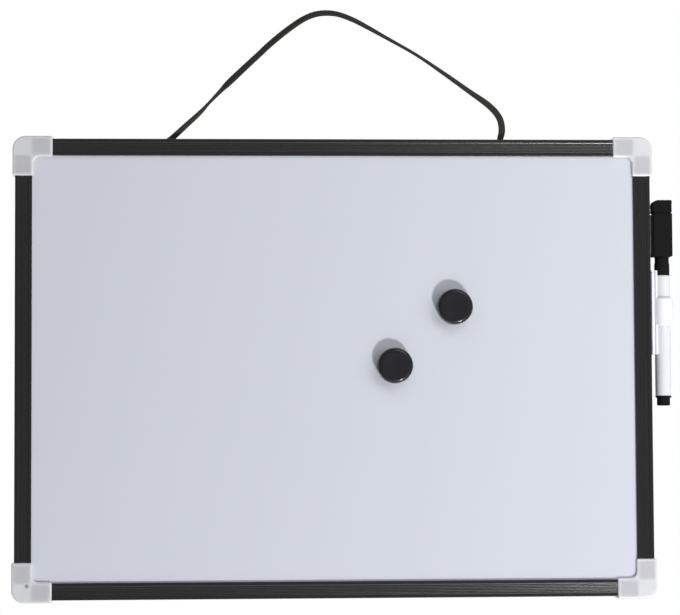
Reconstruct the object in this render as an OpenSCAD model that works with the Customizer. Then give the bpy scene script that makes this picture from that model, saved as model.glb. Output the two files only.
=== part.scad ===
// Hanging magnetic whiteboard: a fluted four-rail frame with push-in corner caps, a loop of
// flat cord, two round magnets, and a slim marker with an eraser cap in a ring holder.
// The board hangs upright. Its front faces -Y and +Z is up. The origin is the hook point,
// under the cord's loop, on the board's centre line and in the middle of the frame's depth.

/* [Board] */
// Width over the four rails
board_w = 396; // [300:1:600]
// Height over the four rails
board_h = 285; // [240:1:450]
// Steel writing sheet
sheet_t = 0.4; // [0.2:0.1:0.8]
// Core board behind the sheet
core_t = 7.4; // [5:0.1:12]
// Backing sheet
back_t = 0.4; // [0.2:0.1:0.8]
// Slack of the panel in the rails' channel, each side
panel_gap = 0.15; // [0.05:0.05:0.25]

/* [Rails] */
// Width of a rail's face
rail_w = 10.5; // [9.5:0.1:14]
// Outer wall of a rail
rail_wall = 1.1; // [0.8:0.1:1.4]
// Web between the hollow chamber and the panel's channel
rail_web = 1; // [0.8:0.1:1.4]
// Depth of the channel that grips the panel
grip_d = 4.1; // [3:0.1:5]
// Front lip, from the rail's face to the channel
lip_t = 1.4; // [1.2:0.1:2]
// Back flange
flange_t = 1.1; // [0.8:0.1:1.6]
// Radius of the rail's long edges
edge_r = 0.5; // [0.3:0.1:1]
// Smooth strip between the rail's outer edge and the sunk band in its face
strip_w = 2.1; // [1.5:0.1:2.4]
// Width of the sunk band
band_w = 6.5; // [5:0.1:6.6]
// Depth of the sunk band
band_depth = 0.2; // [0.1:0.05:0.3]
// Number of fine flutes along the sunk band
flute_n = 6; // [3:1:8]
// Depth of a flute
flute_depth = 0.09; // [0.04:0.01:0.12]

/* [Corner caps] */
// Length of a corner cap's arm, from its outer face
cap_arm = 24.9; // [20:0.1:40]
// How far the cap stands out past the rails
cap_proud = 1.7; // [1:0.1:1.7]
// How far the cap's face and back stand out past the rails
cap_face = 0.5; // [0.2:0.1:1]
// How far the cap's inner edge laps in past the rail's
cap_lap = 0.8; // [0.2:0.1:1.2]
// Radius of the outer corner
corner_r = 8; // [5:0.1:10]
// Radius of the inner corner
fillet_r = 4; // [2:0.1:5]
// Radius of the cap's edges
cap_edge_r = 1.3; // [0.6:0.1:1.5]
// Length of the tongue that pushes into a rail
tongue_len = 18; // [10:1:28]
// Wall of the tongue
tongue_wall = 1.1; // [0.8:0.1:1.4]
// Slack of the tongue in the rail's chamber, each side
tongue_fit = 0.15; // [0.1:0.05:0.25]

/* [Cord] */
// Width of the flat cord
cord_w = 4; // [3:0.1:4.2]
// Thickness of the flat cord
cord_t = 1.7; // [1:0.1:2]
// Room round the cord in its slots
slot_gap = 0.35; // [0.2:0.05:0.6]
// Length of the bar moulded on each end of the cord
toggle_len = 13; // [12:0.5:18]
// Height of that bar
toggle_h = 3.2; // [2.4:0.1:3.4]

/* [Marker] */
// Barrel diameter
barrel_d = 10; // [9:0.1:12]
// Barrel wall
barrel_wall = 1; // [0.8:0.1:1.3]
// Barrel length
barrel_len = 75.5; // [68:0.5:100]
// Distance from the frame's top down to the barrel's top
barrel_drop = 85.2; // [84:0.1:95]
// Distance of the marker's axis from the right rail
marker_out = 7.9; // [7.8:0.1:10]
// Thickness of the end plug's collar
collar_t = 1; // [0.6:0.1:2]
// Diameter of the end plug's knob
knob_d = 8.2; // [6:0.1:8.6]
// Length of the end plug's knob
knob_len = 5; // [3:0.1:8]
// Front section that carries the nib
section_d = 6.6; // [6:0.1:6.8]
// Length of that section, up to its cone
section_len = 13; // [10:0.5:16]
// Length of its cone
cone_len = 5; // [3:0.5:6]
// Nib diameter
nib_d = 3; // [2:0.1:3.4]
// How far the nib stands out
nib_out = 3.5; // [2.5:0.1:4]
// Slack between the marker's own pieces
marker_fit = 0.1; // [0.05:0.05:0.15]

/* [Marker cap] */
// Diameter of the cap's neck
neck_d = 8.9; // [8.4:0.1:9]
// Length of the neck
neck_len = 4.4; // [3.5:0.1:8]
// Diameter of the cap's rim
rim_d = 9.5; // [9.1:0.1:9.8]
// Length of the rim
rim_len = 7.3; // [5:0.1:9]
// Width of the eraser head
head_w = 12; // [10.4:0.1:12]
// Depth of the eraser head
head_d = 12; // [9.2:0.1:12]
// Height of the eraser head
head_h = 27.1; // [22:0.1:32]
// Radius of the head's upright edges
head_r = 0.7; // [0.4:0.1:1.5]
// Radius of the head's end edges
head_end_r = 0.6; // [0.3:0.1:0.8]
// Wall round the felt's socket
felt_wall = 0.6; // [0.5:0.05:1]
// Felt above the head
felt_h = 8.5; // [5:0.1:10]
// Felt inside the head
felt_seat = 2; // [1:0.1:3]

/* [Marker holder] */
// Wall of the ring and the gutter
holder_wall = 1.6; // [1.2:0.1:1.7]
// Running clearance round the barrel
ring_fit = 0.1; // [0.05:0.01:0.1]
// Length of the ring
ring_len = 17.5; // [10:0.5:24]
// Distance from the gutter's top down to the ring's top
ring_drop = 17.2; // [10:0.1:20]
// Length of the gutter
gutter_len = 52.5; // [46:0.5:60]
// Distance from the frame's top down to the gutter's top
gutter_drop = 82.2; // [82:0.1:84]
// How far the gutter wraps round the barrel, in degrees
gutter_wrap = 80; // [70:5:150]
// Width of the holder's foot
foot_w = 8; // [6:0.1:9.6]
// Thickness of the adhesive tape under the foot
tape_t = 0.8; // [0.5:0.1:0.9]
// Margin of the foot round the tape
tape_margin = 1; // [0.5:0.1:2]

/* [Magnets] */
// Diameter of a magnet's cap
mag_d = 22; // [20:0.1:30]
// Height of a magnet's cap
mag_h = 8; // [7:0.1:10]
// Radius of its rim
mag_rim_r = 2.4; // [1.5:0.1:2.6]
// Diameter of the dish in its face
dish_d = 15; // [10:0.1:16]
// Depth of that dish
dish_depth = 0.45; // [0.2:0.05:0.8]
// Diameter of the gate spot in the middle of the dish
spot_d = 5; // [2:0.5:8]
// Depth of that spot below the dish
spot_depth = 0.15; // [0.1:0.05:0.4]
// Diameter of the magnetic disc
disc_d = 18; // [12:0.1:18]
// Thickness of the magnetic disc
disc_t = 4; // [2:0.1:4.5]
// Gap between a magnet and the sheet, and round the disc
mag_gap = 0.1; // [0.05:0.05:0.2]
// First magnet, to the right of the board's middle
mag_1_x = 74.5; // [60:0.5:110]
// First magnet, above the board's middle
mag_1_z = 37.5; // [30:0.5:60]
// Second magnet, to the right of the board's middle
mag_2_x = 37; // [0:0.5:40]
// Second magnet, above the board's middle
mag_2_z = 1; // [-60:0.5:6]

/* [Hidden] */
$fn = 48;
over = 1; // how far a cutter runs past what it cuts

// Panel and rail sections. u runs in from a rail's outer face, w runs back from its front.
panel_t = sheet_t + core_t + back_t;
channel_t = panel_t + 2 * panel_gap;
rail_d = lip_t + channel_t + flange_t;
channel_u = rail_w - grip_d;
chamber_w = channel_u - rail_wall - rail_web;
panel_inset = channel_u + panel_gap;
front_y = -rail_d / 2;
sheet_y = front_y + lip_t + panel_gap;
butt_gap = 0.05;
band_slope = 25; // angle of the sunk band's sides, in degrees
flute_land = 0.08; // flat between two flutes

// Cord route: across, height above the frame's top, and twist of the flat cord in degrees,
// which is 0 where it is seen edge on from the front and 90 where it shows its full width.
route = [
  [-107.2, -3, -40], [-101.6, 0.6, -40], [-92.6, 8.8, -35], [-83.6, 17.1, -25],
  [-78.3, 22.9, 4], [-70.4, 31.2, 24], [-64.7, 36.9, 61], [-55.6, 45.6, 54], [-47.9, 52.8, 49],
  [-40.5, 59.8, 52], [-32.9, 66.3, 55], [-25.3, 72.1, 49], [-18.2, 76.7, 50], [-11.1, 79.5, 50],
  [-3.8, 80.3, 47], [3.4, 79.4, 40], [10.9, 76.7, 37], [18.3, 73.1, 31], [33.2, 64.8, 14],
  [52.3, 53.9, 11], [69.9, 42, 23], [85, 31.2, 36], [97.6, 22.1, 59], [104, 14.6, 71],
  [105.7, 7, 88], [104.6, 1, 60], [103.9, -3, 60]
];
last = len(route) - 1;
steps = 3; // rings from one route point to the next
hook_h = 78.3; // underside of the loop above the frame's top
slot_x = [(route[0][0] + route[1][0]) / 2, (route[last][0] + route[last - 1][0]) / 2];
cord_slant = 3; // how far the slanting cord runs sideways inside a slot
slot_len = cord_w + cord_slant + 2 * slot_gap;
slot_w = cord_w + 2 * slot_gap;
toggle_gap = 0.2; // below the rail's outer wall
toggle_step = 0.2; // toggle's face, in from the cord's edge
toggle_w = cord_w - 2 * toggle_step;

// Heights
top_z = -hook_h;
mid_z = top_z - board_h / 2;
bottom_z = top_z - board_h;
arm_end = cap_arm - cap_proud;

// Marker and holder. Their axis is upright, in the middle of the frame's depth.
marker_x = board_w / 2 + marker_out;
barrel_top = top_z - barrel_drop;
barrel_bottom = barrel_top - barrel_len;
barrel_bore = barrel_d - 2 * barrel_wall;
end_wall = 3; // closed end of the barrel, under the nib section
spigot_step = 0.8; // shoulder of the nib section on the barrel's end
spigot_d = section_d - 2 * spigot_step;
tip_wall = 0.6; // wall of the nib section at its tip
plug_depth = 6;
nib_top = section_len + cone_len + nib_out;
rim_gap = 0.1;
cap_bottom = barrel_top + rim_gap;
cap_bore_d = section_d + 2 * marker_fit;
nib_room = 1.5; // air above the nib in the cap
cap_bore_h = nib_top + nib_room;
head_bottom = cap_bottom + rim_len + neck_len;
head_top = head_bottom + head_h;
felt_w = head_w - 2 * felt_wall - 2 * marker_fit;
felt_d = head_d - 2 * felt_wall - 2 * marker_fit;
bore_r = barrel_d / 2 + ring_fit;
holder_r = bore_r + holder_wall;
gutter_top = top_z - gutter_drop;
lip_bead = 0.15; // how far the bead along each lip stands out past the wall
foot_x = -(marker_out - tape_t);
mag_pos = [[mag_1_x, mid_z + mag_1_z], [mag_2_x, mid_z + mag_2_z]];

// ---- Shapes used again and again ----

// Rectangle with round corners, from the origin
module soft_rect(size, r) {
  translate([r, 0]) square([size[0] - 2 * r, size[1]]);
  translate([0, r]) square([size[0], size[1] - 2 * r]);
  for (x = [r, size[0] - r], y = [r, size[1] - r])
    translate([x, y]) circle(r);
}

// Ring with its edges broken, standing on the origin
module broken_ring(r_out, r_in, h, edge) {
  rotate_extrude()
    polygon([
      [r_in, 0], [r_out - edge, 0], [r_out, edge],
      [r_out, h - edge], [r_out - edge, h], [r_in, h]
    ]);
}

// ---- Panel ----

module panel_layer(y, t) {
  w = board_w - 2 * panel_inset;
  h = board_h - 2 * panel_inset;
  translate([-w / 2, y, mid_z - h / 2]) cube([w, t, h]);
}

module writing_sheet() {
  color("whitesmoke") panel_layer(sheet_y, sheet_t);
}

module core_board() {
  color("burlywood") panel_layer(sheet_y + sheet_t, core_t);
}

module back_sheet() {
  color("silver") panel_layer(sheet_y + sheet_t + core_t, back_t);
}

// ---- Rails ----

// Section of a rail: a smooth strip on each side of a sunk and fluted band, round long edges,
// a hollow chamber for the corner tongues, and a channel for the panel
module rail_section() {
  run = band_depth / tan(band_slope);
  pitch = (band_w - 2 * run) / flute_n;
  flute_w = pitch - flute_land;
  flute_r = (pow(flute_w / 2, 2) + pow(flute_depth, 2)) / (2 * flute_depth);
  difference() {
    soft_rect([rail_w, rail_d], edge_r);
    translate([rail_wall, lip_t]) square([chamber_w, channel_t]);
    translate([channel_u, lip_t]) square([grip_d + over, channel_t]);
    translate([strip_w, 0]) {
      polygon([
        [0, -over], [0, 0], [run, band_depth],
        [band_w - run, band_depth], [band_w, 0], [band_w, -over]
      ]);
      for (i = [0 : flute_n - 1])
        translate([run + (i + 0.5) * pitch, band_depth + flute_depth - flute_r])
          circle(flute_r, $fn = 96);
    }
  }
}

// Rail with its outer face on the plane x = 0, running both ways along z
module rail(span) {
  length = span - 2 * (arm_end + butt_gap);
  translate([0, front_y, -length / 2])
    linear_extrude(length) rail_section();
}

module side_rail() {
  translate([-board_w / 2, 0, mid_z]) rail(board_h);
}

module left_rail() {
  color([0.13, 0.13, 0.14]) side_rail();
}

module right_rail() {
  color([0.13, 0.13, 0.14]) mirror([1, 0, 0]) side_rail();
}

module top_rail() {
  color([0.13, 0.13, 0.14])
    difference() {
      translate([0, 0, top_z]) rotate([0, 90, 0]) rail(board_w);
      for (x = slot_x)
        translate([x - slot_len / 2, -slot_w / 2, top_z - rail_wall - over])
          cube([slot_len, slot_w, rail_wall + 2 * over]);
    }
}

module bottom_rail() {
  color([0.13, 0.13, 0.14])
    translate([0, 0, bottom_z]) rotate([0, -90, 0]) rail(board_w);
}

// ---- Corner caps ----

cap_w = rail_w + cap_proud + cap_lap;
cap_d = rail_d + 2 * cap_face;
cap_c = corner_r - cap_proud; // centre of the outer corner
fillet_c = rail_w + cap_lap + fillet_r; // centre of the inner corner
fillet_root = cap_edge_r + 0.2; // how far the fillet runs into the arms, past their round edges

// Arm along z: its section, its front view and its side view, all with round corners
module cap_arm_body() {
  reach = cap_arm + corner_r;
  intersection() {
    translate([-cap_proud, -cap_face, cap_c])
      linear_extrude(arm_end - cap_c) soft_rect([cap_w, cap_d], cap_edge_r);
    translate([-cap_proud, cap_d + over, arm_end - reach])
      rotate([90, 0, 0])
        linear_extrude(cap_d + 3 * over) soft_rect([cap_w, reach], cap_edge_r);
    translate([-cap_proud - over, -cap_face, arm_end - reach])
      rotate([90, 0, 90])
        linear_extrude(cap_w + 2 * over) soft_rect([cap_d, reach], cap_edge_r);
  }
}

// Tongue along z: a channel with a tapered end, open towards the rail's web
module cap_tongue() {
  w = chamber_w - 2 * tongue_fit;
  d = channel_t - 2 * tongue_fit;
  root = 2;
  lead = 0.5;
  translate([rail_wall + tongue_fit, lip_t + tongue_fit, arm_end - root])
    difference() {
      rotate([90, 0, 0]) translate([0, 0, -d])
        linear_extrude(d)
          polygon([
            [0, 0], [w, 0], [w, root + tongue_len - 2 * lead], [w - lead, root + tongue_len],
            [lead, root + tongue_len], [0, root + tongue_len - 2 * lead]
          ]);
      translate([tongue_wall, tongue_wall, root + tongue_wall])
        cube([w, d - 2 * tongue_wall, tongue_len]);
    }
}

// Cap for the lower left corner, with the rails' outer corner on the origin
module corner_cap() {
  difference() {
    union() {
      cap_arm_body();
      mirror([1, 0, -1]) cap_arm_body();
      // Round outer corner
      translate([cap_c, cap_d - cap_face, cap_c])
        rotate([90, 0, 0])
          rotate_extrude()
            intersection() {
              translate([-corner_r, 0]) soft_rect([2 * corner_r, cap_d], cap_edge_r);
              square([corner_r, cap_d]);
            }
      // Round inner corner
      intersection() {
        translate([fillet_c, cap_d - cap_face, fillet_c])
          rotate([90, 0, 0])
            rotate_extrude()
              translate([fillet_r, 0]) soft_rect([2 * fillet_r, cap_d], cap_edge_r);
        translate([fillet_c, -cap_face - over, fillet_c] - (fillet_r + fillet_root) * [1, 0, 1])
          cube([fillet_r + fillet_root, cap_d + 2 * over, fillet_r + fillet_root]);
      }
    }
    // Seat for the panel's corner
    translate([channel_u, lip_t, channel_u]) cube([cap_arm, channel_t, cap_arm]);
  }
  cap_tongue();
  mirror([1, 0, -1]) cap_tongue();
}

module corner_bottom_left() {
  color("gainsboro") translate([-board_w / 2, front_y, bottom_z]) corner_cap();
}

module corner_top_left() {
  color("gainsboro")
    translate([-board_w / 2, front_y, top_z]) mirror([0, 0, 1]) corner_cap();
}

module corner_bottom_right() {
  color("gainsboro")
    translate([board_w / 2, front_y, bottom_z]) mirror([1, 0, 0]) corner_cap();
}

module corner_top_right() {
  color("gainsboro")
    translate([board_w / 2, front_y, top_z])
      mirror([1, 0, 0]) mirror([0, 0, 1]) corner_cap();
}

// ---- Cord ----

// Point between route points b and c, on the smooth curve through a, b, c and d
function smooth_point(a, b, c, d, t) =
  0.5 * (2 * b + (c - a) * t + (2 * a - 5 * b + 4 * c - d) * t * t
    + (3 * b - a - 3 * c + d) * t * t * t);

// Points past either end go straight on
function route_point(i) =
  i < 0 ? 2 * route[0] - route[1] :
  i > last ? 2 * route[last] - route[last - 1] : route[i];

cord_path = [
  for (i = [0 : last - 1], s = [0 : steps - 1])
    smooth_point(route_point(i - 1), route[i], route[i + 1], route_point(i + 2), s / steps),
  route[last]
];
path_last = len(cord_path) - 1;

// Direction of the path in its own plane, as a unit vector
function path_dir(i) =
  let (a = cord_path[max(i - 1, 0)], b = cord_path[min(i + 1, path_last)])
  let (d = [b[0] - a[0], b[1] - a[1]])
  d / norm(d);

// The flat cord's eight-sided section: across its width, and through its thickness
cord_section = [
  for (s = [[1, 0.4], [0.75, 1], [-0.75, 1], [-1, 0.4], [-1, -0.4], [-0.75, -1], [0.75, -1],
    [1, -0.4]]) [s[0] * cord_w / 2, s[1] * cord_t / 2]
];
sides = len(cord_section);

function cord_ring(i) =
  let (p = cord_path[i], d = path_dir(i), s = sin(p[2]), c = cos(p[2]))
  [for (q = cord_section)
    let (out = q[0] * s + q[1] * c, back = q[0] * c - q[1] * s)
    [p[0] - d[1] * out, back, top_z + p[1] + d[0] * out]];

module hanging_cord() {
  points = [for (i = [0 : path_last], p = cord_ring(i)) p];
  skin = [
    for (i = [0 : path_last - 1], k = [0 : sides - 1])
      let (a = i * sides + k, b = i * sides + (k + 1) % sides)
      for (f = [[a, b, b + sides], [a, b + sides, a + sides]]) f
  ];
  start = [for (k = [1 : sides - 2]) [0, k + 1, k]];
  end = [for (k = [1 : sides - 2]) path_last * sides * [1, 1, 1] + [0, k, k + 1]];
  color([0.2, 0.2, 0.18])
    polyhedron(points, [for (f = concat(start, skin, end)) [f[0], f[2], f[1]]]);
}

// Bar moulded on the cord's end, lying in the top rail's chamber across its slot
module cord_toggle(x) {
  edge = toggle_h / 3;
  color("dimgray")
    translate([x - toggle_len / 2, -toggle_w / 2, top_z - rail_wall - toggle_gap - toggle_h])
      intersection() {
        translate([0, toggle_w, 0]) rotate([90, 0, 0])
          linear_extrude(toggle_w) soft_rect([toggle_len, toggle_h], edge);
        linear_extrude(toggle_h) soft_rect([toggle_len, toggle_w], edge);
      }
}

module cord_toggle_left() {
  cord_toggle(route[0][0]);
}

module cord_toggle_right() {
  cord_toggle(route[last][0]);
}

// ---- Marker holder ----

// Gutter in plan: a flat foot with a hollow for the barrel, and a bead along each lip
module gutter_plan() {
  mid_r = (bore_r + holder_r) / 2;
  half = gutter_wrap / 2;
  reach = 2 * holder_r;
  difference() {
    union() {
      intersection() {
        circle(holder_r);
        polygon([
          [0, 0], reach * [-cos(half), sin(half)], reach * [-1, sin(half)],
          reach * [-1, -sin(half)], reach * [-cos(half), -sin(half)]
        ]);
      }
      for (side = [-1, 1])
        translate(mid_r * [-cos(half), side * sin(half)]) circle(holder_wall / 2 + lip_bead);
      translate([foot_x, -foot_w / 2]) square([-foot_x - mid_r * cos(half), foot_w]);
    }
    circle(bore_r);
  }
}

module pen_holder() {
  lip_reach = holder_r - (bore_r + holder_wall / 2) * cos(gutter_wrap / 2) + holder_wall;
  end_r = 1.8;
  edge = 0.6;
  color("white")
    translate([marker_x, 0, gutter_top]) {
      // Gutter and foot, with the corners rounded in the front view
      intersection() {
        translate([0, 0, -gutter_len]) linear_extrude(gutter_len) gutter_plan();
        translate([-holder_r - 2 * end_r, holder_r + over, -gutter_len])
          rotate([90, 0, 0])
            linear_extrude(2 * holder_r + 2 * over)
              soft_rect([lip_reach + 2 * end_r, gutter_len], end_r);
      }
      translate([0, 0, -ring_drop - ring_len])
        broken_ring(holder_r, bore_r, ring_len, edge);
    }
}

module holder_tape() {
  color("lightgray")
    translate([board_w / 2, tape_margin - foot_w / 2, gutter_top - gutter_len + 2 * tape_margin])
      cube([tape_t, foot_w - 2 * tape_margin, gutter_len - 4 * tape_margin]);
}

// ---- Marker ----

module on_marker_axis(z) {
  translate([marker_x, 0, z]) children();
}

module marker_barrel() {
  edge = 0.4;
  color("white")
    on_marker_axis(barrel_bottom)
      difference() {
        broken_ring(barrel_d / 2, spigot_d / 2 + marker_fit, barrel_len, edge);
        translate([0, 0, -over]) cylinder(d = barrel_bore, h = barrel_len - end_wall + over);
      }
}

module marker_end_plug() {
  edge = 0.5;
  color([0.12, 0.12, 0.12])
    on_marker_axis(barrel_bottom) {
      cylinder(d = barrel_bore - 2 * marker_fit, h = plug_depth);
      translate([0, 0, -collar_t]) cylinder(d = barrel_d, h = collar_t);
      translate([0, 0, -collar_t - knob_len])
        rotate_extrude()
          polygon([
            [0, 0], [knob_d / 2 - edge, 0], [knob_d / 2, edge],
            [knob_d / 2, knob_len], [0, knob_len]
          ]);
    }
}

module marker_reservoir() {
  length = barrel_len - end_wall - plug_depth - 2 * marker_fit;
  color("royalblue")
    on_marker_axis(barrel_bottom + plug_depth + marker_fit)
      cylinder(d = barrel_bore - 4 * marker_fit, h = length);
}

module marker_nib_section() {
  color("dimgray")
    on_marker_axis(barrel_top)
      difference() {
        union() {
          translate([0, 0, -end_wall]) cylinder(d = spigot_d, h = end_wall + over);
          cylinder(d = section_d, h = section_len);
          translate([0, 0, section_len])
            cylinder(d1 = section_d, d2 = nib_d + 2 * tip_wall, h = cone_len);
        }
        translate([0, 0, -end_wall - over])
          cylinder(d = nib_d + 2 * marker_fit, h = end_wall + section_len + cone_len + 2 * over);
      }
}

// Felt rod from the reservoir to a bullet tip
module marker_nib() {
  rod = section_len + cone_len + end_wall + nib_out - nib_d / 2;
  color("royalblue")
    on_marker_axis(barrel_top - end_wall)
      rotate_extrude()
        intersection() {
          union() {
            square([nib_d / 2, rod]);
            translate([0, rod]) circle(nib_d / 2);
          }
          square([nib_d, rod + nib_d]);
        }
}

module marker_cap() {
  color([0.11, 0.11, 0.12])
    difference() {
      union() {
        on_marker_axis(cap_bottom) {
          cylinder(d = rim_d, h = rim_len);
          cylinder(d = neck_d, h = rim_len + neck_len + over);
        }
        on_marker_axis(head_bottom)
          translate([-head_w / 2, -head_d / 2, 0])
            intersection() {
              linear_extrude(head_h) soft_rect([head_w, head_d], head_r);
              translate([0, head_d, 0]) rotate([90, 0, 0])
                linear_extrude(head_d) soft_rect([head_w, head_h], head_end_r);
              rotate([90, 0, 90])
                linear_extrude(head_w) soft_rect([head_d, head_h], head_end_r);
            }
      }
      on_marker_axis(cap_bottom - over) cylinder(d = cap_bore_d, h = cap_bore_h + over);
      // Socket for the felt
      on_marker_axis(head_top - felt_seat)
        translate([felt_wall - head_w / 2, felt_wall - head_d / 2, 0])
          cube([head_w - 2 * felt_wall, head_d - 2 * felt_wall, felt_seat + over]);
    }
}

module eraser_felt() {
  corner = 0.8;
  top_r = 1.2;
  h = felt_h + felt_seat;
  color([0.16, 0.16, 0.17])
    on_marker_axis(head_top - felt_seat)
      translate([-felt_w / 2, -felt_d / 2, 0])
        intersection() {
          linear_extrude(h) soft_rect([felt_w, felt_d], corner);
          translate([0, felt_d, -2 * top_r]) rotate([90, 0, 0])
            linear_extrude(felt_d) soft_rect([felt_w, h + 2 * top_r], top_r);
        }
}

// ---- Magnets ----

// Drawn face up on the origin, then turned to face the front at magnet i's place
module on_sheet(i) {
  translate([mag_pos[i][0], sheet_y - mag_gap, mag_pos[i][1]])
    rotate([90, 0, 0]) children();
}

module magnet_cap(i) {
  r = mag_d / 2;
  bowl = (pow(dish_d / 2, 2) + pow(dish_depth, 2)) / (2 * dish_depth);
  color([0.07, 0.07, 0.08])
    on_sheet(i)
      difference() {
        rotate_extrude() {
          square([r, mag_h - mag_rim_r]);
          square([r - mag_rim_r, mag_h]);
          translate([r - mag_rim_r, mag_h - mag_rim_r])
            circle(mag_rim_r);
        }
        translate([0, 0, mag_h - dish_depth + bowl]) sphere(bowl, $fn = 96);
        translate([0, 0, mag_h - dish_depth - spot_depth])
          cylinder(d = spot_d, h = dish_depth + spot_depth + over);
        translate([0, 0, -over])
          cylinder(d = disc_d + 2 * mag_gap, h = disc_t + mag_gap + over);
      }
}

module magnet_disc(i) {
  color([0.25, 0.25, 0.27])
    on_sheet(i) translate([0, 0, mag_gap]) cylinder(d = disc_d, h = disc_t);
}

module magnet_cap_1() {
  magnet_cap(0);
}

module magnet_disc_1() {
  magnet_disc(0);
}

module magnet_cap_2() {
  magnet_cap(1);
}

module magnet_disc_2() {
  magnet_disc(1);
}

writing_sheet();
core_board();
back_sheet();
top_rail();
bottom_rail();
left_rail();
right_rail();
corner_top_left();
corner_top_right();
corner_bottom_left();
corner_bottom_right();
hanging_cord();
cord_toggle_left();
cord_toggle_right();
holder_tape();
pen_holder();
marker_barrel();
marker_end_plug();
marker_reservoir();
marker_nib_section();
marker_nib();
marker_cap();
eraser_felt();
magnet_cap_1();
magnet_disc_1();
magnet_cap_2();
magnet_disc_2();
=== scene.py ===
import math

import bpy
import numpy as np
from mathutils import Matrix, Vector, noise


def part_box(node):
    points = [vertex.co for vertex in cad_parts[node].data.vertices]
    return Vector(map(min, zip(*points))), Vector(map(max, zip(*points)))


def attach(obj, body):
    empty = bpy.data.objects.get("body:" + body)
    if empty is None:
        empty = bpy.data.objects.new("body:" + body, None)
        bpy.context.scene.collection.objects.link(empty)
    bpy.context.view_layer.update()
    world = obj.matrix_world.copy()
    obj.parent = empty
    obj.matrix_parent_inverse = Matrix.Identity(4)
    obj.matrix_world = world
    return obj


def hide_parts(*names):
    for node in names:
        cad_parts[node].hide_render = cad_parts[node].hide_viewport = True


# A small whiteboard that hangs by a loop of cord: a lacquered steel sheet in four black rails
# with white corner caps, two round magnets, and a slim marker in a ring on the right rail.
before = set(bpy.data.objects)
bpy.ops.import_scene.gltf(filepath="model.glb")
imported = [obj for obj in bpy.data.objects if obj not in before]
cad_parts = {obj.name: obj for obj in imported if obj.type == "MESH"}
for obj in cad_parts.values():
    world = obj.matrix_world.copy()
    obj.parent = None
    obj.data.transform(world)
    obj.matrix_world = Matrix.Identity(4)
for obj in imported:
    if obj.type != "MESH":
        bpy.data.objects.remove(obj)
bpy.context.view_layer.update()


# ---- Camera -------------------------------------------------------------------------------
# A long lens a little below and to the left of the board's middle, so the board's right side
# runs away from it and its top leans back.
SENSOR_MM = 36.0
LENS_MM = 135.53
CAMERA_AT = (-0.0865, -1.5897, -0.2848)
CAMERA_TURN = (93.651, 0.288, -3.215)  # degrees about each axis

camera = bpy.data.objects.new("camera", bpy.data.cameras.new("camera"))
camera.data.sensor_width = SENSOR_MM
camera.data.lens = LENS_MM
camera.location = CAMERA_AT
camera.rotation_euler = [math.radians(a) for a in CAMERA_TURN]
bpy.context.scene.collection.objects.link(camera)
bpy.context.scene.camera = camera


# ---- Hanging cord -------------------------------------------------------------------------
# One flat braided cord of black polyester. Each end drops through a slot in the top rail and
# is moulded into a bar that can't come back out. A wall hook, which isn't part of the board,
# holds up the middle of the loop.
CORD_WIDTH = 0.0043
CORD_THICKNESS = 0.0020
CORD_SQUARE = 0.62  # 1 would make the section a plain oval, and less squares it
CORD_RING = 0.0002  # from one ring of the mesh to the next
CORD_SIDES = 44  # points round one ring
SECTION_STEPS = 1440  # of the fine outline that these points are spaced along
ROUTE_STEPS = 60  # of the fine curve from one point of the route to the next
STRANDS = 11  # yarns that run each way round the braid
BRAID_PITCH = 0.0125  # length in which a yarn goes once round
BRAID_RELIEF = 0.00014
YARN_ROUND = 0.98  # how far a yarn falls away at its edges: 1 is all the way
YARN_MEAN = 0.62  # a yarn's height between crossings, as a share of the relief
YARN_WAVE = 0.38  # how much it rises over a crossing and sinks under one
CORD_BLACK = (0.014, 0.014, 0.012, 1)
CORD_DUST = (0.034, 0.034, 0.029, 1)

# Across, height above the frame's top, and twist in degrees: 0 is edge on from the front
ROUTE = np.array([
    (-0.1072, -0.0030, -40), (-0.1016, 0.0006, -40), (-0.0926, 0.0088, -33),
    (-0.0836, 0.0171, -20), (-0.0783, 0.0229, 4), (-0.0704, 0.0312, 30), (-0.0647, 0.0369, 66),
    (-0.0556, 0.0456, 62), (-0.0479, 0.0528, 58), (-0.0405, 0.0598, 60), (-0.0329, 0.0663, 62),
    (-0.0253, 0.0721, 58), (-0.0182, 0.0767, 58), (-0.0111, 0.0795, 58), (-0.0038, 0.0803, 55),
    (0.0034, 0.0794, 47), (0.0109, 0.0767, 44), (0.0183, 0.0731, 38), (0.0332, 0.0648, 22),
    (0.0523, 0.0539, 14), (0.0699, 0.0420, 30), (0.0850, 0.0312, 44), (0.0976, 0.0221, 68),
    (0.1040, 0.0146, 75), (0.1057, 0.0070, 80), (0.1046, 0.0010, 60), (0.1039, -0.0030, 60),
])


def smooth_route(points, per_stretch):
    """The curve through all the points, with straight ends, at per_stretch steps a stretch."""
    ends = [2 * points[0] - points[1], *points, 2 * points[-1] - points[-2]]
    t = np.linspace(0, 1, per_stretch, endpoint=False)[:, None]
    line = [
        0.5 * (2 * b + (c - a) * t + (2 * a - 5 * b + 4 * c - d) * t**2
               + (3 * b - a - 3 * c + d) * t**3)
        for a, b, c, d in zip(ends, ends[1:], ends[2:], ends[3:])
    ]
    return np.vstack([*line, points[-1:]])


def even_steps(line, step):
    """The same line, with its points a step apart along its way in the board's plane."""
    run = np.r_[0, np.cumsum(np.hypot(*np.diff(line[:, :2], axis=0).T))]
    at = np.linspace(0, run[-1], round(run[-1] / step) + 1)
    return np.column_stack([np.interp(at, run, c) for c in line.T]), at


def yarn_height(turn, over):
    """A yarn's rounded height across its width. over is 1 over a crossing and -1 under it."""
    off_middle = 2 * (turn - np.floor(turn)) - 1
    return np.sqrt(1 - off_middle**2 * YARN_ROUND) * (YARN_MEAN + YARN_WAVE * over)


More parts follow.
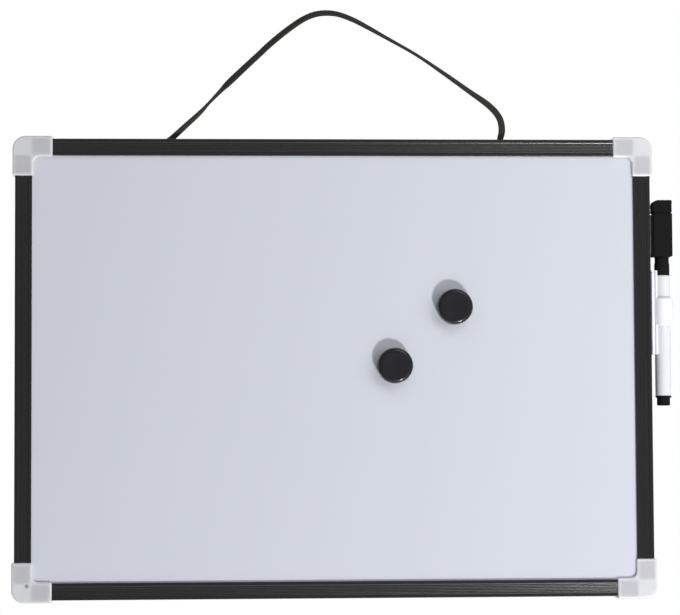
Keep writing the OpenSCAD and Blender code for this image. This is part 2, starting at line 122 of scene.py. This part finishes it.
def braid_height(around, along):
    """How far the braid stands up, 0 to 1: two yarns over and two under, both ways round."""
    a = STRANDS * (around + along / BRAID_PITCH)
    b = STRANDS * (around - along / BRAID_PITCH)
    over_a = np.clip(math.sqrt(2) * np.cos(math.pi / 2 * (b - np.floor(a))), -1, 1)
    over_b = np.clip(-math.sqrt(2) * np.cos(math.pi / 2 * (np.floor(b) - a + 1)), -1, 1)
    return np.maximum(yarn_height(a, over_a), yarn_height(b, over_b))


def flat_section(count, width, thickness):
    """Points round a flat oval, evenly spaced, with the way out at each and the share of the
    way round."""
    a = np.linspace(0, 2 * math.pi, SECTION_STEPS + 1)
    oval = np.column_stack([
        width / 2 * np.sign(np.cos(a)) * np.abs(np.cos(a)) ** CORD_SQUARE,
        thickness / 2 * np.sign(np.sin(a)) * np.abs(np.sin(a)) ** CORD_SQUARE,
    ])
    run = np.r_[0, np.cumsum(np.hypot(*np.diff(oval, axis=0).T))]
    share = np.arange(count) / count
    points = np.column_stack([np.interp(share * run[-1], run, c) for c in oval.T])
    way = np.roll(points, -1, 0) - np.roll(points, 1, 0)
    out = np.column_stack([way[:, 1], -way[:, 0]])
    return points, out / np.linalg.norm(out, axis=1)[:, None], share


def mesh_piece(name, points, faces):
    """A new object from its points and faces, in the frame's own metres."""
    mesh = bpy.data.meshes.new(name)
    mesh.from_pydata([tuple(p) for p in points], [], [tuple(f) for f in faces])
    mesh.shade_smooth()
    mesh.update()
    piece = bpy.data.objects.new(name, mesh)
    bpy.context.scene.collection.objects.link(piece)
    return piece


def tube_faces(rings, sides):
    """Squares from ring to ring, and a fan of triangles to a middle point at each end."""
    ring, side = np.meshgrid(np.arange(rings - 1), np.arange(sides), indexing="ij")
    a, b = ring * sides + side, ring * sides + (side + 1) % sides
    skin = np.stack([a, b, b + sides, a + sides], -1).reshape(-1, 4).tolist()
    first, last = rings * sides, (rings - 1) * sides
    start = [(first, (k + 1) % sides, k) for k in range(sides)]
    end = [(first + 1, last + k, last + (k + 1) % sides) for k in range(sides)]
    return skin + start + end


rail_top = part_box("top_rail")[1].z
line, along = even_steps(smooth_route(ROUTE, ROUTE_STEPS), CORD_RING)
centre = np.column_stack([line[:, 0], 0 * line[:, 0], rail_top + line[:, 1]])
way = np.gradient(line[:, :2], axis=0)
way /= np.linalg.norm(way, axis=1)[:, None]
across = np.column_stack([-way[:, 1], 0 * way[:, 0], way[:, 0]])
back = np.array([0, 1, 0])
sin_t, cos_t = (f(np.radians(line[:, 2]))[:, None] for f in (np.sin, np.cos))
wide = across * sin_t + back * cos_t  # along the cord's width
thick = across * cos_t - back * sin_t  # through its thickness
section, out, share = flat_section(
    CORD_SIDES, CORD_WIDTH - 2 * BRAID_RELIEF, CORD_THICKNESS - 2 * BRAID_RELIEF
)
stand = BRAID_RELIEF * braid_height(share[None, :], along[:, None])
spread = section[None] + out[None] * stand[..., None]
rings = (
    centre[:, None] + wide[:, None] * spread[..., :1] + thick[:, None] * spread[..., 1:]
)
cord = mesh_piece(
    "braided_cord",
    np.vstack([rings.reshape(-1, 3), centre[:1], centre[-1:]]),
    tube_faces(len(rings), CORD_SIDES),
)


def put(tree, kind, *values, **named):
    """Adds a shader node. Values fill its inputs in order. A name in small letters is one of
    its settings, and one with a capital is an input, with _ for each space."""
    made = tree.nodes.new("ShaderNode" + kind)
    for key, value in named.items():
        if key.islower():
            setattr(made, key, value)
    live = [socket for socket in made.inputs if socket.enabled]
    by_name = {socket.name: socket for socket in live}
    pairs = list(zip(live, values))
    pairs += [(by_name[k.replace("_", " ")], v) for k, v in named.items() if not k.islower()]
    for socket, value in pairs:
        join(tree, value, socket)
    return made


def join(tree, value, socket):
    """Links a node's output to a socket, or sets the socket to a plain value."""
    if isinstance(value, bpy.types.NodeSocket):
        tree.links.new(value, socket)
    else:
        socket.default_value = value


NOISE_MIDDLE = 0.5  # the level that a noise swings about


def shade_between(tree, mask, dark, light):
    """The colour that lies between two by a mask."""
    mix = put(tree, "Mix", mask, dark, light, data_type="RGBA")
    return next(socket for socket in mix.outputs if socket.enabled)


def effect(name, inputs, outputs):
    """A shader node group with named sockets: its tree, what comes in and what goes out."""
    tree = bpy.data.node_groups.new(name, "ShaderNodeTree")
    kinds = {"colour": "Color", "value": "Float", "vector": "Vector"}
    for way, sockets in (("INPUT", inputs), ("OUTPUT", outputs)):
        for label, kind in sockets.items():
            tree.interface.new_socket(
                label, in_out=way, socket_type="NodeSocket" + kinds[kind])
    given = tree.nodes.new("NodeGroupInput").outputs
    made = tree.nodes.new("NodeGroupOutput").inputs
    return tree, given, made


def put_out_shades(tree, grain, given, made):
    """Stretches a noise about its middle by Contrast, and puts out that mask and the colour
    between the two shades."""
    level = put(tree, "Math", grain, NOISE_MIDDLE, operation="SUBTRACT").outputs[0]
    clear = put(tree, "Math", level, given["Contrast"], NOISE_MIDDLE,
                operation="MULTIPLY_ADD", use_clamp=True).outputs[0]
    shade = shade_between(tree, clear, given["Dark"], given["Light"])
    tree.links.new(shade, made["Color"])
    tree.links.new(clear, made["Mask"])


def speckle_effect():
    """Speckle in two shades, the same all round, for yarn, felt, foam and moulded skins."""
    tree, given, made = effect(
        "fine_speckle",
        {"Dark": "colour", "Light": "colour", "Per Metre": "value", "Contrast": "value"},
        {"Color": "colour", "Mask": "value"},
    )
    place = put(tree, "TexCoord").outputs["Object"]
    speckle = put(tree, "TexNoise", Vector=place, Scale=given["Per Metre"], Detail=4.0)
    put_out_shades(tree, speckle.outputs["Fac"], given, made)
    return tree


SPECKLE = speckle_effect()


def finish(name, **sockets):
    """A new material on one Principled shader, with these of its sockets set."""
    material = bpy.data.materials.new(name)
    material.use_nodes = True
    shader = material.node_tree.nodes["Principled BSDF"]
    for key, value in sockets.items():
        shader.inputs[key.replace("_", " ")].default_value = value
    return material, material.node_tree, shader


def use(tree, group, **values):
    """Places a shared effect in a material, with its own values."""
    placed = tree.nodes.new("ShaderNodeGroup")
    placed.node_tree = group
    for key, value in values.items():
        join(tree, value, placed.inputs[key.replace("_", " ")])
    return placed.outputs


def raise_surface(tree, shader, height, depth):
    """Feeds a height to the shader's normal, depth metres from its lowest to its highest."""
    bump = put(tree, "Bump", Height=height, Distance=depth, Strength=1.0)
    tree.links.new(bump.outputs["Normal"], shader.inputs["Normal"])


def speckled_finish(name, dark, light, per_metre, contrast, depth, **sockets):
    """A material whose colour and bumps both follow the speckle, depth metres high."""
    material, tree, shader = finish(name, **sockets)
    skin = use(tree, SPECKLE, Dark=dark, Light=light, Per_Metre=per_metre, Contrast=contrast)
    tree.links.new(skin["Color"], shader.inputs["Base Color"])
    raise_surface(tree, shader, skin["Mask"], depth)
    return material


def paint(material, *names):
    """Gives CAD nodes or pieces, by name, this material."""
    for name in names:
        piece = bpy.data.objects[name]
        piece.data.materials.clear()
        piece.data.materials.append(material)


yarn = speckled_finish(
    "cord_yarn", CORD_BLACK, CORD_DUST, per_metre=2600, contrast=2.2, depth=0.00005,
    Roughness=0.85, Specular_IOR_Level=0.25, Sheen_Weight=0.15, Sheen_Roughness=0.5,
)
paint(yarn, cord.name)

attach(cord, "board")
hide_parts("hanging_cord")


# ---- Cord toggles -------------------------------------------------------------------------
# A bar of black plastic moulded on each end of the cord. It lies across its slot, inside the
# top rail, and shows only as a dark end deep in the slot.
TOGGLE_BLACK = (0.018, 0.018, 0.018, 1)
TOGGLE_GREY = (0.030, 0.030, 0.030, 1)

toggle = speckled_finish(
    "toggle_plastic", TOGGLE_BLACK, TOGGLE_GREY, per_metre=900, contrast=1.5, depth=0.00003,
    Roughness=0.55, Specular_IOR_Level=0.35,
)
paint(toggle, "cord_toggle_left", "cord_toggle_right")


# ---- Writing panel ------------------------------------------------------------------------
# Thin steel with a glossy white lacquer that has a trace of blue, glued to a honeycomb core
# with a grey primed sheet behind it. The rails grip its four edges.
LACQUER = (0.640, 0.660, 0.735, 1)
LACQUER_WORN = (0.622, 0.645, 0.722, 1)
FRESH_ROUGH = 0.22
WORN_ROUGH = 0.30  # where wiping has dulled it
BACK_GREY = (0.300, 0.305, 0.310, 1)
BACK_PALE = (0.350, 0.355, 0.360, 1)
BOARD_BROWN = (0.320, 0.210, 0.110, 1)
BOARD_PALE = (0.420, 0.300, 0.180, 1)

lacquer, tree, shader = finish("white_lacquer", Specular_IOR_Level=0.5)
haze = use(tree, SPECKLE, Dark=LACQUER_WORN, Light=LACQUER, Per_Metre=9, Contrast=0.8)
tree.links.new(haze["Color"], shader.inputs["Base Color"])
wiped = put(tree, "MapRange", Value=haze["Mask"], To_Min=WORN_ROUGH, To_Max=FRESH_ROUGH)
tree.links.new(wiped.outputs["Result"], shader.inputs["Roughness"])
peel = use(tree, SPECKLE, Per_Metre=420, Contrast=1.0)  # the orange peel of sprayed lacquer
raise_surface(tree, shader, peel["Mask"], depth=0.000012)
paint(lacquer, "writing_sheet")

primer = speckled_finish(
    "grey_primer", BACK_GREY, BACK_PALE, per_metre=260, contrast=2.0, depth=0.00003,
    Roughness=0.6, Specular_IOR_Level=0.3,
)
paint(primer, "back_sheet")

paper = speckled_finish(
    "core_paper", BOARD_BROWN, BOARD_PALE, per_metre=600, contrast=2.0, depth=0.00005,
    Roughness=0.9, Specular_IOR_Level=0.2,
)
paint(paper, "core_board")


# ---- Rails --------------------------------------------------------------------------------
# Four lengths of black extruded plastic with shallow flutes along the face. The die leaves
# faint streaks that run the length of each rail.
RAIL_BLACK = (0.0118, 0.0118, 0.0120, 1)
RAIL_GREY = (0.0154, 0.0154, 0.0158, 1)
RAIL_ROUGH = (0.23, 0.29)  # from the dark streaks to the grey ones
STREAKS_ALONG = 6  # streaks to the metre along a rail
STREAKS_ACROSS = 2600  # and across it


def streak_effect():
    """Long thin streaks left by a die or a mould's draw. Run is how many there are to the
    metre along each axis, so they run along the one where it is least."""
    tree, given, made = effect(
        "drawn_streaks",
        {"Dark": "colour", "Light": "colour", "Run": "vector", "Contrast": "value"},
        {"Color": "colour", "Mask": "value"},
    )
    place = put(tree, "TexCoord").outputs["Object"]
    drawn = put(tree, "VectorMath", place, given["Run"], operation="MULTIPLY")
    streak = put(tree, "TexNoise", Vector=drawn.outputs[0], Scale=1.0, Detail=3.0)
    put_out_shades(tree, streak.outputs["Fac"], given, made)
    return tree


STREAKS = streak_effect()


def rail_finish(name, run):
    """Black extruded plastic whose streaks run along the axis where run is least."""
    material, tree, shader = finish(name, Specular_IOR_Level=0.68)
    drawn = use(tree, STREAKS, Dark=RAIL_BLACK, Light=RAIL_GREY, Run=run, Contrast=2.0)
    tree.links.new(drawn["Color"], shader.inputs["Base Color"])
    least, most = RAIL_ROUGH
    dull = put(tree, "MapRange", Value=drawn["Mask"], To_Min=least, To_Max=most)
    tree.links.new(dull.outputs["Result"], shader.inputs["Roughness"])
    raise_surface(tree, shader, drawn["Mask"], depth=0.000012)
    return material


level = rail_finish("rail_black_level", (STREAKS_ALONG, STREAKS_ACROSS, STREAKS_ACROSS))
paint(level, "top_rail", "bottom_rail")
upright = rail_finish("rail_black_upright", (STREAKS_ACROSS, STREAKS_ACROSS, STREAKS_ALONG))
paint(upright, "left_rail", "right_rail")


# ---- Corner caps --------------------------------------------------------------------------
# Four white polyethylene mouldings that push into the rails' ends on hollow tongues. The
# plastic is milky, so light spreads inside it. The middle of each arm is painted darker, as
# painted shade where the hollow shows through the thin wall.
CAP_WHITE = (0.727, 0.730, 0.758, 1)
CAP_CLOUD = (0.703, 0.706, 0.733, 1)
CAP_PAINTED_SHADE = (0.555, 0.556, 0.588, 1)  # painted shade: darker where the wall is thin over the arm's hollow
CAP_GATE_MARK_SHADE = (0.220, 0.218, 0.195, 1)  # the gate's mark where the moulding was broken off its runner, painted dark as the shade in its small recess
SHADE_CENTRE = Vector((0.0048, 0, 0.0160))  # from the rails' outer corner, for an upright arm
SHADE_HALF = Vector((0.0035, 1, 0.0041))
SHADE_BLUR = 0.0028
GATE_AT = Vector((-0.1901, -0.0060, -0.3545))
GATE_HALF = Vector((0.0002, 1, 0.0002))
GATE_BLUR = 0.0016


def soft_patch_effect():
    """A mask, 1 in a box of half size Half round Centre that fades to 0 at Blur outside it."""
    tree, given, made = effect(
        "soft_patch",
        {"Place": "vector", "Centre": "vector", "Half": "vector", "Blur": "value"},
        {"Mask": "value"},
    )
    off = put(tree, "VectorMath", given["Place"], given["Centre"], operation="SUBTRACT")
    off = put(tree, "VectorMath", off.outputs[0], operation="ABSOLUTE")
    off = put(tree, "VectorMath", off.outputs[0], given["Half"], operation="SUBTRACT")
    off = put(tree, "VectorMath", off.outputs[0], (0, 0, 0), operation="MAXIMUM")
    far = put(tree, "VectorMath", off.outputs[0], operation="LENGTH")
    fade = put(tree, "Math", far.outputs["Value"], given["Blur"], operation="DIVIDE")
    mask = put(tree, "MapRange", Value=fade.outputs[0], To_Min=1.0, To_Max=0.0,
               interpolation_type="SMOOTHSTEP")
    tree.links.new(mask.outputs["Result"], made["Mask"])
    return tree


SOFT_PATCH = soft_patch_effect()


def mould_skin(tree, shader):
    """The fine, even skin that a mould leaves on a white plastic."""
    skin = use(tree, SPECKLE, Per_Metre=1800, Contrast=1.0)
    raise_surface(tree, shader, skin["Mask"], depth=0.00001)


milky, tree, shader = finish(
    "milky_plastic", Roughness=0.32, Specular_IOR_Level=1.0,
    Subsurface_Weight=0.6, Subsurface_Radius=(1.0, 0.95, 0.9), Subsurface_Scale=0.0015,
)
# How far in a point lies from the rails' nearest outer corner, so the four caps come out alike
middle = (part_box("bottom_rail")[0].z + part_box("top_rail")[1].z) / 2
outer = Vector((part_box("right_rail")[1].x, 0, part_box("top_rail")[1].z - middle))
place = put(tree, "TexCoord").outputs["Object"]
inward = put(tree, "VectorMath", place, (0, 0, middle), operation="SUBTRACT")
inward = put(tree, "VectorMath", inward.outputs[0], operation="ABSOLUTE")
inward = put(tree, "VectorMath", outer, inward.outputs[0], operation="SUBTRACT").outputs[0]
# Painted shade: each arm's middle is darker, where the hollow shows through the thin wall
arms = [
    use(tree, SOFT_PATCH, Place=inward, Centre=centre_at, Half=half, Blur=SHADE_BLUR)["Mask"]
    for centre_at, half in ((SHADE_CENTRE, SHADE_HALF), (SHADE_CENTRE.zyx, SHADE_HALF.zyx))
]
painted_shade = put(tree, "Math", *arms, operation="MAXIMUM").outputs[0]
# The gate's real mark, painted dark as the shade in its small recess
gate_shade = use(tree, SOFT_PATCH, Place=place, Centre=GATE_AT, Half=GATE_HALF, Blur=GATE_BLUR)
cloud = use(tree, SPECKLE, Dark=CAP_CLOUD, Light=CAP_WHITE, Per_Metre=130, Contrast=1.8)
shade = shade_between(tree, painted_shade, cloud["Color"], CAP_PAINTED_SHADE)
shade = shade_between(tree, gate_shade["Mask"], shade, CAP_GATE_MARK_SHADE)
tree.links.new(shade, shader.inputs["Base Color"])
mould_skin(tree, shader)
paint(milky, "corner_top_left", "corner_top_right", "corner_bottom_left", "corner_bottom_right")


# ---- Marker holder ------------------------------------------------------------------------
# One white moulding: a ring round the barrel on a gutter with a flat foot. Foam tape sticks
# the foot to the right rail's outer side.
HOLDER_WHITE = (0.868, 0.873, 0.906, 1)
HOLDER_SHADE = (0.848, 0.853, 0.888, 1)
TAPE_WHITE = (0.620, 0.620, 0.610, 1)
TAPE_SHADE = (0.480, 0.480, 0.470, 1)

moulded, tree, shader = finish("holder_plastic", Roughness=0.35, Specular_IOR_Level=0.5)
cloud = use(tree, SPECKLE, Dark=HOLDER_SHADE, Light=HOLDER_WHITE, Per_Metre=150, Contrast=1.6)
tree.links.new(cloud["Color"], shader.inputs["Base Color"])
mould_skin(tree, shader)
paint(moulded, "pen_holder")

foam = speckled_finish(
    "foam_tape", TAPE_SHADE, TAPE_WHITE, per_metre=3000, contrast=3.0, depth=0.00008,
    Roughness=0.9, Specular_IOR_Level=0.2,
)
paint(foam, "holder_tape")


# ---- Marker -------------------------------------------------------------------------------
# A slim board marker: a white barrel over an ink reservoir, a black plug with a knob in its
# lower end, and a grey front section with a fibre nib under a black cap.
BARREL_WHITE = (0.748, 0.752, 0.790, 1)
BARREL_SHADE = (0.728, 0.733, 0.772, 1)
MARKER_BLACK = (0.0086, 0.0086, 0.0086, 1)
MARKER_GREY = (0.0126, 0.0126, 0.0126, 1)
SECTION_GREY = (0.420, 0.420, 0.430, 1)
SECTION_PALE = (0.480, 0.480, 0.490, 1)
INK_BLACK = (0.006, 0.006, 0.008, 1)
INK_GREY = (0.022, 0.022, 0.026, 1)

barrel, tree, shader = finish("barrel_plastic", Roughness=0.28, Specular_IOR_Level=0.5)
drawn = use(
    tree, STREAKS, Dark=BARREL_SHADE, Light=BARREL_WHITE, Run=(900, 900, 12), Contrast=1.2)
tree.links.new(drawn["Color"], shader.inputs["Base Color"])
raise_surface(tree, shader, drawn["Mask"], depth=0.000008)
paint(barrel, "marker_barrel")

satin = speckled_finish(
    "marker_black", MARKER_BLACK, MARKER_GREY, per_metre=1500, contrast=1.6, depth=0.00002,
    Roughness=0.7, Specular_IOR_Level=0.05,
)
paint(satin, "marker_end_plug", "marker_cap")

grey = speckled_finish(
    "section_plastic", SECTION_GREY, SECTION_PALE, per_metre=700, contrast=1.5, depth=0.00001,
    Roughness=0.4, Specular_IOR_Level=0.4,
)
paint(grey, "marker_nib_section")

fibre, tree, shader = finish("ink_fibre", Roughness=0.8, Specular_IOR_Level=0.3)
strands = use(
    tree, STREAKS, Dark=INK_BLACK, Light=INK_GREY, Run=(7000, 7000, 260), Contrast=3.0)
tree.links.new(strands["Color"], shader.inputs["Base Color"])
raise_surface(tree, shader, strands["Mask"], depth=0.00006)
paint(fibre, "marker_reservoir", "marker_nib")


# ---- Eraser felt --------------------------------------------------------------------------
# A block of dense black wool felt glued in the open end of the cap's head. Wiping has worn
# its upper left corner down, and its faces are rough with fibre.
FELT_BLACK = (0.0035, 0.0035, 0.0035, 1)
FELT_DUST = (0.0130, 0.0130, 0.0130, 1)
FELT_GRID = 0.00028
FELT_ROUND = 0.0009
FELT_SWELL = 0.0007  # how far the felt spreads over the rim of the cap's head
FELT_LEAN = 0.0001  # and a hair further on the side next to the rail
FELT_WORN = 0.0017  # how deep the worn corner goes
WORN_ACROSS = 0.3  # share of the felt's width that is worn
WORN_TOP = 4  # the wear keeps to the top 1 / WORN_TOP of its height
FELT_RELIEF = 0.00022
WOOL_PER_METRE = 900
WOOL_NOISE = (1.0, 2.2, 3)  # fall-off, step between sizes, and number of sizes
WOOL_FACE = 0.6  # the noise level at the felt's faces: all below it sinks in


def felt_block(low, high, rim):
    """Points and faces of a round-edged block that swells above the rim, with the worn corner
    and a wool surface."""
    middle = (low + high) / 2
    size = high - low
    count = [max(2, round(s / FELT_GRID)) for s in size]
    index, points, faces = {}, [], []

    def point(*at):
        if at not in index:
            flat = Vector([l + s * i / n for l, s, i, n in zip(low, size, at, count)])
            core = Vector([min(max(f, l + FELT_ROUND), h - FELT_ROUND)
                           for f, l, h in zip(flat, low, high)])
            out = (flat - core).normalized()
            p = core + out * FELT_ROUND
            worn = max(0, 1 - (p.x - low.x) / (WORN_ACROSS * size.x)) ** 2
            near_top = max(0, (p.z - low.z) / size.z * WORN_TOP - (WORN_TOP - 1))
            p.z -= FELT_WORN * worn * near_top
            over = min(max((p.z - rim) / FELT_ROUND, 0), 1)
            side = (p - middle) / (size.x / 2)
            p.x += over * (FELT_SWELL * side.x - FELT_LEAN * max(0, -side.x))
            p.y += over * FELT_SWELL * side.y
            wool = noise.fractal(p * WOOL_PER_METRE, *WOOL_NOISE) - WOOL_FACE
            index[at] = len(points)
            points.append(p + out * FELT_RELIEF * min(wool, 0))
        return index[at]

    for axis in range(3):
        u, v = (axis + 1) % 3, (axis + 2) % 3
        for side in (0, count[axis]):
            for i in range(count[u]):
                for j in range(count[v]):
                    ring = []
                    for du, dv in ((0, 0), (1, 0), (1, 1), (0, 1)):
                        at = [0, 0, 0]
                        at[axis], at[u], at[v] = side, i + du, j + dv
                        ring.append(point(*at))
                    faces.append(ring if side else ring[::-1])
    return points, faces


low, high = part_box("eraser_felt")
points, faces = felt_block(low, high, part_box("marker_cap")[1].z)
felt = mesh_piece("felt_block", points, faces)

wool = speckled_finish(
    "wool_felt", FELT_BLACK, FELT_DUST, per_metre=1500, contrast=2.6, depth=0.0001,
    Roughness=0.95, Specular_IOR_Level=0.05, Sheen_Weight=0.06, Sheen_Roughness=0.6,
)
paint(wool, felt.name)
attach(felt, "cap")
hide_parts("eraser_felt")


# ---- Magnets ------------------------------------------------------------------------------
# Two glossy black moulded caps with a shallow dish in the face, each over a bare ferrite disc
# that is glued in from behind.
MAGNET_BLACK = (0.0126, 0.0118, 0.0150, 1)
MAGNET_GREY = (0.0160, 0.0152, 0.0186, 1)
FERRITE_DARK = (0.030, 0.030, 0.032, 1)
FERRITE_PALE = (0.060, 0.060, 0.064, 1)

gloss = speckled_finish(
    "magnet_plastic", MAGNET_BLACK, MAGNET_GREY, per_metre=300, contrast=1.5, depth=0.00001,
    Roughness=0.42, Specular_IOR_Level=0.15, Coat_Weight=0.55, Coat_Roughness=0.13,
)
paint(gloss, "magnet_cap_1", "magnet_cap_2")

ferrite = speckled_finish(
    "ferrite", FERRITE_DARK, FERRITE_PALE, per_metre=2400, contrast=2.5, depth=0.00004,
    Roughness=0.55, Specular_IOR_Level=0.5,
)
paint(ferrite, "magnet_disc_1", "magnet_disc_2")


# ---- Room ---------------------------------------------------------------------------------
# A plain pale floor well below the board, in a room that is white behind it and softer in
# front. The key lamp, low on the right, throws the magnets' shadows. The side and top lamps
# stand above it, the fill lamp is above the board's left, and the back lamp lights its back.
FLOOR_DROP = 1.75
FLOOR_SIZE = 12.0
FLOOR_PALE = (0.80, 0.80, 0.80, 1)
FLOOR_GLOW = 0.86  # what the camera sees added, so that the floor is white
SKY_WHITE = (1, 1, 1, 1)
SKY_SEEN = 1.0  # the sky's strength where it is seen
SKY_LIGHT = 0.19  # and as light on the board
SKY_BLUR = 0.2  # how gently the white behind the board gives way to the room in front
BOARD_AT = (0.000, 0.000, -0.220)
LAMPS = {  # place, aim, width, watts, and whether a gloss mirrors it
    "key_lamp": ((0.751, -1.457, -1.556), (0.056, -0.008, -0.200), 0.28, 31.0, True),
    "side_lamp": ((0.600, -0.500, -0.100), (0.100, 0.000, -0.220), 0.50, 1.55, False),
    "top_lamp": ((0.550, -1.100, 0.750), BOARD_AT, 0.85, 5.0, True),
    "fill_lamp": ((-0.200, -0.500, 0.600), BOARD_AT, 0.60, 0.95, False),
    "back_lamp": ((-1.600, 0.900, 0.200), BOARD_AT, 1.20, 28.0, False),
}


def seen_white(tree, depth):
    """1 for what the camera or glass sees and for what a gloss mirrors behind the board, which
    is where depth is above 0. 0 for what lights the object."""
    ray = put(tree, "LightPath").outputs
    behind = put(tree, "MapRange", Value=depth, From_Min=-SKY_BLUR, From_Max=SKY_BLUR)
    mirrored = put(tree, "Math", ray["Is Glossy Ray"], behind.outputs["Result"],
                   operation="MULTIPLY")
    seen = put(tree, "Math", ray["Is Camera Ray"], mirrored.outputs[0], operation="MAXIMUM")
    seen = put(tree, "Math", seen.outputs[0], ray["Is Transmission Ray"], operation="MAXIMUM")
    return seen.outputs[0]


floor = mesh_piece(
    "floor",
    [(x * FLOOR_SIZE / 2, y * FLOOR_SIZE / 2, -FLOOR_DROP)
     for x, y in ((-1, -1), (1, -1), (1, 1), (-1, 1))],
    [(0, 1, 2, 3)],
)
pale, tree, shader = finish(
    "floor_pale", Base_Color=FLOOR_PALE, Roughness=0.9, Specular_IOR_Level=0.0,
    Emission_Strength=FLOOR_GLOW,
)
place = put(tree, "TexCoord").outputs["Object"]
seen = seen_white(tree, put(tree, "SeparateXYZ", place).outputs["Y"])
glow = put(tree, "CombineColor", seen, seen, seen)
tree.links.new(glow.outputs["Color"], shader.inputs["Emission Color"])
paint(pale, "floor")

world = bpy.data.worlds.new("soft_white")
world.use_nodes = True
tree = world.node_tree
way_out = put(tree, "TexCoord").outputs["Generated"]
seen = seen_white(tree, put(tree, "SeparateXYZ", way_out).outputs["Y"])
strength = put(tree, "MapRange", Value=seen, To_Min=SKY_LIGHT, To_Max=SKY_SEEN)
tree.nodes["Background"].inputs["Color"].default_value = SKY_WHITE
tree.links.new(strength.outputs["Result"], tree.nodes["Background"].inputs["Strength"])
bpy.context.scene.world = world
bpy.context.scene.view_settings.view_transform = "Standard"

for name, (at, aim, width, watts, mirrored) in LAMPS.items():
    lamp = bpy.data.objects.new(name, bpy.data.lights.new(name, "AREA"))
    lamp.data.shape = "DISK"
    lamp.data.size = width
    lamp.data.energy = watts
    lamp.location = at
    lamp.rotation_euler = (Vector(aim) - Vector(at)).to_track_quat("-Z", "Y").to_euler()
    lamp.visible_camera = False
    lamp.visible_glossy = mirrored
    bpy.context.scene.collection.objects.link(lamp)
